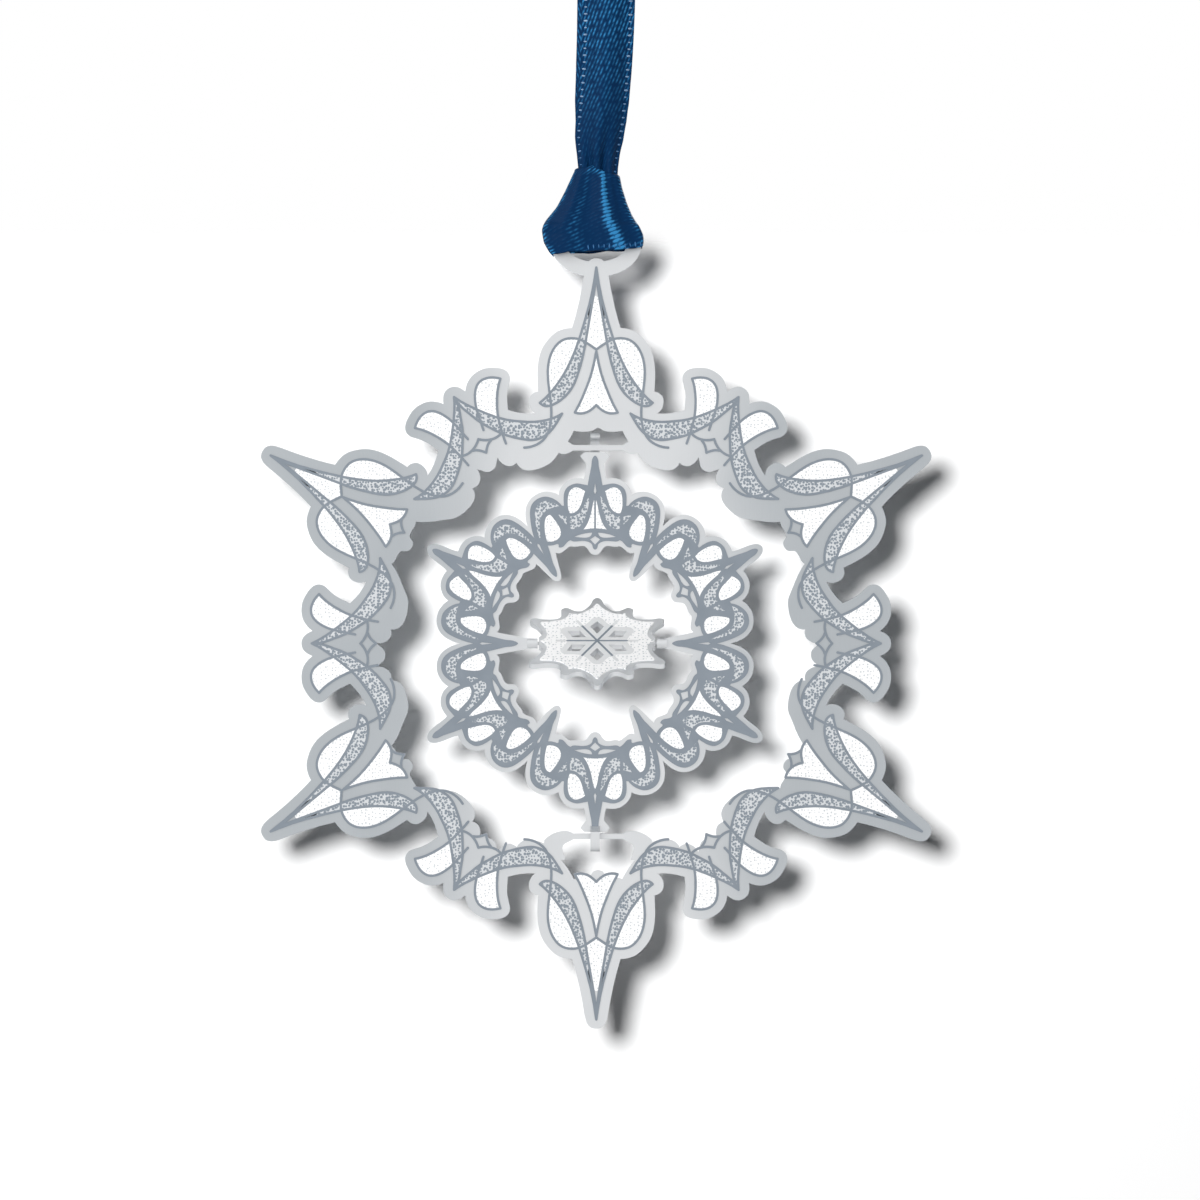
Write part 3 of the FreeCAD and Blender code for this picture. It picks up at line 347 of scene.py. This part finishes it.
# ---- ribbon hitch ------------------------------------------------------------------------------
# The doubled ribbon goes through the eyelet's slot and back through its own bight, so the bight
# lies round the neck as a bell: gathered tight under a rolled edge, creased down its face, and
# open below where the eyelet's rail enters it.  Only friction holds it.  Sizes are in millimetres
# and heights count from the rail.
rail_z = -39.74
bell_rows, bell_columns, bell_thick = 70, 111, 0.28 * mm
bell_left = [(7.39, -2.2), (6.79, -2.5), (4.74, -3.45), (3.04, -4.35), (1.44, -5.66),
             (0.44, -6.0), (-0.76, -5.80), (-1.96, -5.10), (-2.16, -4.79)]
bell_right = [(7.39, 2.35), (6.34, 2.62), (5.24, 2.83), (3.44, 3.39), (2.14, 3.95), (0.84, 4.75),
              (0.04, 5.15), (-0.76, 5.24), (-1.41, 5.05)]
bell_depth = [(-2.4, 1.72), (-1.0, 1.68), (0.6, 1.6), (3.0, 1.42), (5.4, 1.28), (7.4, 1.22)]
left_rise, right_rise = 9.1, 7.65               # from the foot to the neck, at each side
swing_slope = math.tan(math.radians(25))        # the metal's lean at the swing's limits
side_gap, gap_top, gap_ease = 0.68, 1.35, 0.4   # half the opening at the bell's sides
roundness = 2.6                                 # of its section: 2 is an oval, more is squarer
roll_size, roll_vary = 0.42, 0.10               # radius of the rolled edge at the neck


def eased(pairs, at, steps=400, blur=41):
    """smooth run through (place, value) pairs: straight pieces, rounded off over blur steps"""
    places, values = np.array(sorted(pairs)).T
    fine = np.linspace(places[0], places[-1], steps)
    run = np.interp(fine, places, values)
    kernel, pad = np.hanning(blur), blur // 2
    padded = np.r_[2 * run[0] - run[pad:0:-1], run, 2 * run[-1] - run[-2:-pad - 2:-1]]
    return np.interp(at, fine, np.convolve(padded, kernel / kernel.sum(), "valid"))


t = np.linspace(0, 1, bell_rows)                # foot to neck
left_z, right_z = bell_left[-1][0] + t * left_rise, bell_right[-1][0] + t * right_rise
left_x, right_x = eased(bell_left, left_z), eased(bell_right, right_z)
u = np.linspace(-1, 1, bell_columns)            # left to right
share = (u[None] + 1) / 2
bell_x = left_x[:, None] * (1 - share) + right_x[:, None] * share
bell_z = left_z[:, None] * (1 - share) + right_z[:, None] * share
# the foot dips at the right and ripples a little, and the lip stands up left of the middle
bell_z -= 0.16 * np.exp(-((u[None] - 0.62) / 0.22) ** 2) * (1 - t[:, None]) ** 3
bell_z += 0.05 * np.sin(9 * u[None] + 1) * (1 - t[:, None]) ** 4
bell_z += 0.42 * np.exp(-((u[None] + 0.18) / 0.42) ** 2) * t[:, None] ** 5
deep = eased(bell_depth, bell_z)
slit = (side_gap + np.abs(bell_z) * swing_slope) * np.clip((gap_top - bell_z) / gap_ease, 0, 1)
round_side = (1 - np.abs(u[None]) ** roundness) ** (1 / roundness)
roll_turns = np.radians([25, 50, 75, 100, 130, 160, 190])


def along_bell(foot, neck, width):
    """a band that runs from the foot to the neck, in shares of the half width"""
    middle = foot + (neck - foot) * t[:, None]
    spread = width * (1 + 0.35 * (1 - t[:, None]))
    return np.exp(-((u[None] - middle) / spread) ** 2)


def crease(foot, neck, width, size):
    """a fold that fades out at the foot and the neck"""
    return size * along_bell(foot, neck, width) * np.sin(math.pi * t[:, None]) ** 0.4


def panel(front, folds, seed):
    """one side of the bell as a grid of points, with the rolled edge at the neck"""
    rng = np.random.default_rng(seed)
    ripple = sum(0.05 * np.sin(k * u[None] + rng.uniform(0, 6) + 1.4 * t[:, None]) / k ** 0.5
                 for k in (5, 8, 13))
    bulge = folds + ripple * (1 - np.abs(u[None]) ** 6)
    y = -(slit + (deep - slit) * round_side + bulge * round_side)
    skirt = np.stack([bell_x, y, bell_z + rail_z], -1)
    # the edge at the neck rolls over inwards
    roll = []
    top, middle = skirt[-1], np.array([0.1, 0.0])
    size = roll_size + roll_vary * np.cos(3.1 * u + 0.8)
    inwards = middle[None] - top[:, :2]
    inwards /= np.maximum(np.linalg.norm(inwards, axis=1), 1e-6)[:, None]
    for angle in roll_turns:
        row = top.copy()
        row[:, :2] += inwards * (size * (1 - np.cos(angle)))[:, None]
        row[:, 2] += size * np.sin(angle)
        roll.append(row)
    points = np.concatenate([skirt, np.array(roll)]) * mm
    if not front:
        points[..., 1] *= -1
    return points


front_folds = (crease(0.56, 0.22, 0.11, 0.34) + crease(-0.47, -0.66, 0.13, 0.24)
               + crease(0.08, -0.25, 0.2, -0.30) + crease(0.82, 0.7, 0.1, -0.2)
               + crease(-0.8, -0.9, 0.12, -0.16) + crease(0.97, 0.97, 0.06, 0.12)
               + crease(-0.97, -0.97, 0.06, 0.12))
back_folds = (crease(-0.5, -0.3, 0.13, 0.3) + crease(0.42, 0.35, 0.14, 0.26)
              + crease(-0.05, 0.05, 0.16, -0.28) + crease(0.85, 0.8, 0.1, -0.16)
              + crease(-0.85, -0.8, 0.1, -0.16))


def cloth_lengths(points):
    """warp runs sideways round the bell, weft up it, in millimetres of cloth"""
    sideways = np.linalg.norm(np.diff(points, axis=1), axis=2)
    sideways = np.c_[np.zeros(len(points)), np.cumsum(sideways, axis=1)]
    sideways -= sideways[:, [bell_columns // 2]]
    upward = np.linalg.norm(np.diff(points, axis=0), axis=2)
    upward = np.r_[np.zeros((1, points.shape[1])), np.cumsum(upward, axis=0)]
    return np.stack([upward / mm, sideways / mm], -1)


front_panel, back_panel = panel(True, front_folds, 3), panel(False, back_folds, 8)
# painted highlights on the bell: one crest, a faint one beside it, both edges, the right of the
# foot and the rolled lip
shine = (3.2 * along_bell(0.5, 0.26, 0.085) + 0.55 * along_bell(-0.38, -0.34, 0.1)
         + 1.3 * np.exp(-((np.abs(u[None]) - 0.97) / 0.07) ** 2)
         + 0.6 * np.clip((u[None] + 0.1) / 0.5, 0, 1) * np.clip(1 - t[:, None] / 0.09, 0, 1)
         + 0.8 * np.exp(-((u[None] - 0.05) / 0.5) ** 2) * np.clip((t[:, None] - 0.93) / 0.05, 0, 1))
lip = np.repeat(shine[-1:] * np.exp(-((u[None] - 0.1) / 0.6) ** 2), len(roll_turns), 0)
lit = np.concatenate([shine, lip])

# two thicknesses of ribbon go through the slot and round the rail inside the bell
strap_half, strap_bend, strap_top, strap_foot, strap_steps = 2.55, 1.16, 0.9, 0.1, 8
strap_shade, strap_row = 0.6, 0.35
bend = np.radians(np.linspace(-90, 90, 25))
strap_y = np.r_[np.full(strap_steps, -strap_bend), strap_bend * np.sin(bend),
                np.full(strap_steps, strap_bend)][:, None]
strap_side = np.linspace(strap_foot, strap_top, strap_steps)
strap_z = np.r_[strap_side[::-1], -strap_bend * np.cos(bend), strap_side][:, None]
strap_u = np.linspace(-1, 1, 25)[None]
strap_x = strap_half * strap_u
strap_fold = 1 + 0.07 * np.cos(9 * strap_u)
strap = np.stack(np.broadcast_arrays(strap_x, strap_y * strap_fold, strap_z + rail_z), -1) * mm
strap_row_no = np.arange(len(strap_y))[:, None]
strap_cloth = np.stack(np.broadcast_arrays(strap_x, strap_row_no * strap_row), -1)

# the back and the strap run the other way across, so that their faces point outwards too
# the bell is dark with painted shade except its painted highlights, which the back takes at half
# strength; the strap inside the bell takes an even painted shade
ribbon_bell = cloth_piece("hitch_front", front_panel, cloth_lengths(front_panel), 1 - lit,
                          bell_thick, -1)
hitch_back = cloth_piece("hitch_back", back_panel[:, ::-1], cloth_lengths(back_panel)[:, ::-1],
                         1 - 0.5 * lit, bell_thick, -1)
hitch_strap = cloth_piece("hitch_strap", strap[:, ::-1], strap_cloth[:, ::-1],
                          np.full(strap.shape[:2], strap_shade), bell_thick, 0)
bpy.ops.object.select_all(action="DESELECT")
bpy.context.view_layer.objects.active = ribbon_bell
for piece in (ribbon_bell, hitch_back, hitch_strap):
    piece.select_set(True)
bpy.ops.object.join()
ribbon_bell.name = "ribbon_bell"

# the bight's lower selvage shows its weft loops as short upright dashes along the foot: in front
# from left of the middle to the right edge, and behind from edge to edge
foot_every, foot_size, foot_row = 0.55 * mm, (0.15 * mm, 0.50 * mm, 0.08 * mm), 3
rows = []
for points, outwards, first in ((front_panel, facing_out(front_panel), 46),
                                (back_panel, -facing_out(back_panel), 4)):
    facing = outwards[foot_row, first:-3]
    rows.append((points[foot_row, first:-3] + facing * stitch_clear, facing))
foot_stitches = stitch_rows("foot_stitches", rows, foot_every, foot_size, 0.2, weft)

for piece in (ribbon_strip, selvage_stitches, ribbon_bell, foot_stitches):
    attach(piece, "ribbon")
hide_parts("ribbon_loop")
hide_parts("ribbon_hitch")


def silver_sheet(name, light, dark):
    """satin silver plating with a painted sheen, light along the middle and in painted shade
    towards both sides, with random cloudy tone
    """
    made, tree = material(name)
    where = add(tree, "ShaderNodeTexCoord")
    place = add(tree, "ShaderNodeSeparateXYZ", {0: where.outputs["Object"]})
    stretch = add(tree, "ShaderNodeMapping", {"Vector": where.outputs["Object"],
                                              "Scale": (7 / mm, 7 / mm, 0.35 / mm)})
    grain = add(tree, "ShaderNodeTexNoise", {"Vector": stretch.outputs[0], "Scale": 1.0,
                                             "Detail": 3.0, "Roughness": 0.6})
    cloud = add(tree, "ShaderNodeTexNoise", {"Vector": where.outputs["Object"], "Scale": 0.09 / mm,
                                             "Detail": 2.0})
    # painted sheen: lighter along the middle, with painted shade towards both sides
    off_middle = add(tree, "ShaderNodeMath", {0: place.outputs[0]}, operation="ABSOLUTE")
    sheen_falloff = add(tree, "ShaderNodeMapRange", {0: off_middle.outputs[0], 1: 5 * mm, 2: 24 * mm},
               interpolation_type="SMOOTHSTEP")
    wander = add(tree, "ShaderNodeMapRange", {0: cloud.outputs[0], 1: 0.3, 2: 0.7,
                                              3: -0.12, 4: 0.12})
    toned = add(tree, "ShaderNodeMath", {0: sheen_falloff.outputs[0], 1: wander.outputs[0]}, operation="ADD",
                use_clamp=True)
    tone = add(tree, "ShaderNodeMix", {0: toned.outputs[0], 6: srgb(light), 7: srgb(dark)},
               data_type="RGBA")
    rough = add(tree, "ShaderNodeMapRange", {0: grain.outputs[0], 1: 0.3, 2: 0.7, 3: 0.38, 4: 0.5})
    rolled = add(tree, "ShaderNodeBump", {"Strength": 0.12, "Distance": 0.01 * mm,
                                          "Height": grain.outputs[0]})
    shade(tree, {"Base Color": tone.outputs[2], "Metallic": 1.0, "Roughness": rough.outputs[0],
                 "Normal": rolled.outputs[0]})
    return made


def finish_node(name, made):
    """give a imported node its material"""
    nodes[name].data.materials.clear()
    nodes[name].data.materials.append(made)


silver = silver_sheet("silver_plated_steel", "#d6d8da", "#b2b7bb")
finish_node("outer_plate", silver)
finish_node("middle_plate", silver)
# the star's copy is lighter, with less painted shade towards its sides
finish_node("star_plate", silver_sheet("silver_plated_star", "#dadcde", "#ced1d4"))

# ---- star pins ---------------------------------------------------------------------------------
# Two short ends of 0.4 mm stainless wire are pressed into the star and turn in the barrels of the
# middle snowflake's two necks.  Drawing leaves streaks along them, darker and brighter.
wire, tree = material("drawn_stainless_wire")
where = add(tree, "ShaderNodeTexCoord")
stretch = add(tree, "ShaderNodeMapping", {"Vector": where.outputs["Object"],
                                          "Scale": (0.5 / mm, 9 / mm, 9 / mm)})
draw_marks = add(tree, "ShaderNodeTexNoise", {"Vector": stretch.outputs[0], "Scale": 1.0,
                                              "Detail": 2.0})
tone = add(tree, "ShaderNodeMix", {0: draw_marks.outputs[0], 6: srgb("#8f9498"),
                                   7: srgb("#d9dbdd")}, data_type="RGBA")
shade(tree, {"Base Color": tone.outputs[2], "Metallic": 1.0, "Roughness": 0.28})
finish_node("star_pivot_pins", wire)

# ---- enamels -----------------------------------------------------------------------------------
# Screen-filled hard enamel stands a hair above the sheet.  Grey lines are plain, with the small
# unevenness of a printed edge in their tone.
centre_z = -84.7 * mm


def flat_place(tree, tilt=0.0):
    """places on the sheet as x and height, turned back where the sheet hangs tilted"""
    where = add(tree, "ShaderNodeTexCoord")
    level = add(tree, "ShaderNodeMapping",
                {"Vector": where.outputs["Object"], "Location": (0, 0, -centre_z)},
                vector_type="POINT")
    turned = add(tree, "ShaderNodeVectorRotate",
                 {"Vector": level.outputs[0], "Axis": (1, 0, 0), "Angle": math.radians(tilt)},
                 rotation_type="AXIS_ANGLE")
    parts = add(tree, "ShaderNodeSeparateXYZ", {0: turned.outputs[0]})
    return add(tree, "ShaderNodeCombineXYZ", {0: parts.outputs[0], 1: parts.outputs[2]})


def plain_enamel(name, low, high, tilt=0.0):
    """enamel of one colour, which wanders between low and high"""
    made, tree = material(name)
    place = flat_place(tree, tilt)
    uneven = add(tree, "ShaderNodeTexNoise", {"Vector": place.outputs[0], "Scale": 0.45 / mm,
                                              "Detail": 3.0}, noise_dimensions="2D")
    tone = add(tree, "ShaderNodeMix", {0: uneven.outputs[0], 6: srgb(low), 7: srgb(high)},
               data_type="RGBA")
    skin = add(tree, "ShaderNodeBump", {"Strength": 0.08, "Distance": 0.02 * mm,
                                        "Height": uneven.outputs[0]})
    shade(tree, {"Base Color": tone.outputs[2], "Roughness": 0.4, "IOR": 1.5,
                 "Coat Weight": 0.15, "Coat Roughness": 0.2, "Normal": skin.outputs[0]})
    return made


grey_enamel = plain_enamel("grey_line_enamel", "#78818a", "#868e97")
finish_node("outer_line_enamel", grey_enamel)
finish_node("middle_dark_enamel", grey_enamel)

# White cells are strewn with fine grey specks 0.4 mm apart; bands are pale grey, close-set with
# dark specks 0.31 mm apart that nearly touch.


def specked_enamel(name, ground, speck, apart, size, spread, tilt=0.0):
    """enamel with soft-edged specks, up to size across and about apart from each other"""
    made, tree = material(name)
    place = flat_place(tree, tilt)
    cells = add(tree, "ShaderNodeTexVoronoi", {"Vector": place.outputs[0], "Scale": 1 / apart,
                                               "Randomness": spread},
                voronoi_dimensions="2D", feature="F1")
    vary = add(tree, "ShaderNodeSeparateColor", {0: cells.outputs["Color"]})
    reach = add(tree, "ShaderNodeMapRange", {0: vary.outputs[0], 3: 0.30 * size / apart,
                                             4: 0.62 * size / apart})
    edge = add(tree, "ShaderNodeMath", {0: reach.outputs[0], 1: cells.outputs["Distance"]},
               operation="SUBTRACT")
    spot = add(tree, "ShaderNodeMapRange", {0: edge.outputs[0], 1: -0.03, 2: 0.05})
    tone = add(tree, "ShaderNodeMix", {0: spot.outputs[0], 6: srgb(ground), 7: srgb(speck)},
               data_type="RGBA")
    pits = add(tree, "ShaderNodeBump", {"Strength": 0.1, "Distance": 0.01 * mm,
                                        "Height": spot.outputs[0]}, invert=True)
    shade(tree, {"Base Color": tone.outputs[2], "Roughness": 0.35, "IOR": 1.5,
                 "Coat Weight": 0.2, "Coat Roughness": 0.15, "Normal": pits.outputs[0]})
    return made


white_enamel = specked_enamel("white_enamel", "#fbfbfb", "#cbcfd2", 0.40 * mm, 0.18 * mm, 0.7)
finish_node("outer_white_enamel", white_enamel)
finish_node("middle_white_enamel", white_enamel)
bands = specked_enamel("stippled_enamel", "#cdd0d3", "#7f8891", 0.31 * mm, 0.28 * mm, 0.85)
finish_node("outer_stippled_bands", bands)
finish_node("middle_stippled_bands", bands)

# The star's fields are the same enamels on a sheet that hangs with its top tilted back.
star_tilt = 56
finish_node("star_white_enamel", specked_enamel("white_star_enamel", "#fdfdfd", "#ccd0d3",
                                                0.45 * mm, 0.20 * mm, 0.6, star_tilt))
finish_node("star_grey_figure", plain_enamel("pale_star_enamel", "#dadcdd", "#e3e4e5", star_tilt))
finish_node("star_dark_spokes", plain_enamel("dark_star_enamel", "#747f8a", "#818b95", star_tilt))

# ---- backdrop and light ------------------------------------------------------------------------
# A white card hangs close behind the metal, clear of the star, and takes its soft shadow.  It
# swings with the snowflake, its upper edge thins out behind the eyelet, and from behind it is
# clear, so it never hides the ornament.
card_half, card_y, card_foot, card_top = 75 * mm, 10.5 * mm, -150 * mm, -38 * mm
thin_from, thin_to = -42.8 * mm, -38.2 * mm
card, tree = material("white_card")
shape = add(tree, "ShaderNodeNewGeometry")
paper = add(tree, "ShaderNodeBsdfDiffuse", {"Color": srgb("#ffffff")})
clear = add(tree, "ShaderNodeBsdfTransparent")
where = add(tree, "ShaderNodeTexCoord")
place = add(tree, "ShaderNodeSeparateXYZ", {0: where.outputs["Object"]})
thinned = add(tree, "ShaderNodeMapRange", {0: place.outputs[2], 1: thin_from, 2: thin_to},
              interpolation_type="SMOOTHSTEP")
unseen = add(tree, "ShaderNodeMath", {0: thinned.outputs[0], 1: shape.outputs["Backfacing"]},
             operation="MAXIMUM")
either = add(tree, "ShaderNodeMixShader", {0: unseen.outputs[0], 1: paper.outputs[0],
                                           2: clear.outputs[0]})
add(tree, "ShaderNodeOutputMaterial", {"Surface": either.outputs[0]})
card_mesh = bpy.data.meshes.new("card")
card_mesh.from_pydata([(-card_half, card_y, card_foot), (card_half, card_y, card_foot),
                       (card_half, card_y, card_top), (-card_half, card_y, card_top)],
                      [], [(0, 1, 2, 3)])
backdrop = link("card", card_mesh)
backdrop.data.materials.append(card)
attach(backdrop, "outer_snowflake")

# A soft key in front, a little up and to the left, throws the shadow, a light at the side only
# glints on glossy surfaces, and one behind lifts the far side.  The surroundings are white to look
# at and in reflections, but hardly light matt surfaces.
target = Vector((0, 0, centre_z))


def soft_light(name, offset, size, power, gloss=True, matt=True):
    """a round soft light, which may act on glossy surfaces, on matt ones or on both"""
    data = bpy.data.lights.new(name, "AREA")
    data.shape, data.size, data.energy = "DISK", size, power
    lamp = link(name, data)
    lamp.visible_glossy, lamp.visible_diffuse = gloss, matt
    lamp.location = target + Vector(offset)
    lamp.rotation_euler = (-Vector(offset)).to_track_quat("-Z", "Y").to_euler()


key_far = 0.75
key_way = Vector((-2.2, -9.6, 1.8)).normalized()
soft_light("key", key_way * key_far, 0.20, 6.4, gloss=False)
soft_light("side", (-0.5, -0.4, 0.35), 0.25, 2.5, matt=False)
soft_light("back", (0.35, 0.6, 0.35), 0.4, 3.0)

world = bpy.data.worlds.new("room")
scene.world = world
world.use_nodes = True
tree = world.node_tree
tree.nodes.clear()
ray = add(tree, "ShaderNodeLightPath")
seen = add(tree, "ShaderNodeMath", {0: ray.outputs["Is Camera Ray"],
                                    1: ray.outputs["Is Glossy Ray"]}, operation="MAXIMUM")
bright = add(tree, "ShaderNodeBackground", {"Color": (1, 1, 1, 1), "Strength": 1.0})
dim = add(tree, "ShaderNodeBackground", {"Color": (0.93, 0.96, 1, 1), "Strength": 0.05})
room = add(tree, "ShaderNodeMixShader", {0: seen.outputs[0], 1: dim.outputs[0],
                                         2: bright.outputs[0]})
add(tree, "ShaderNodeOutputWorld", {"Surface": room.outputs[0]})
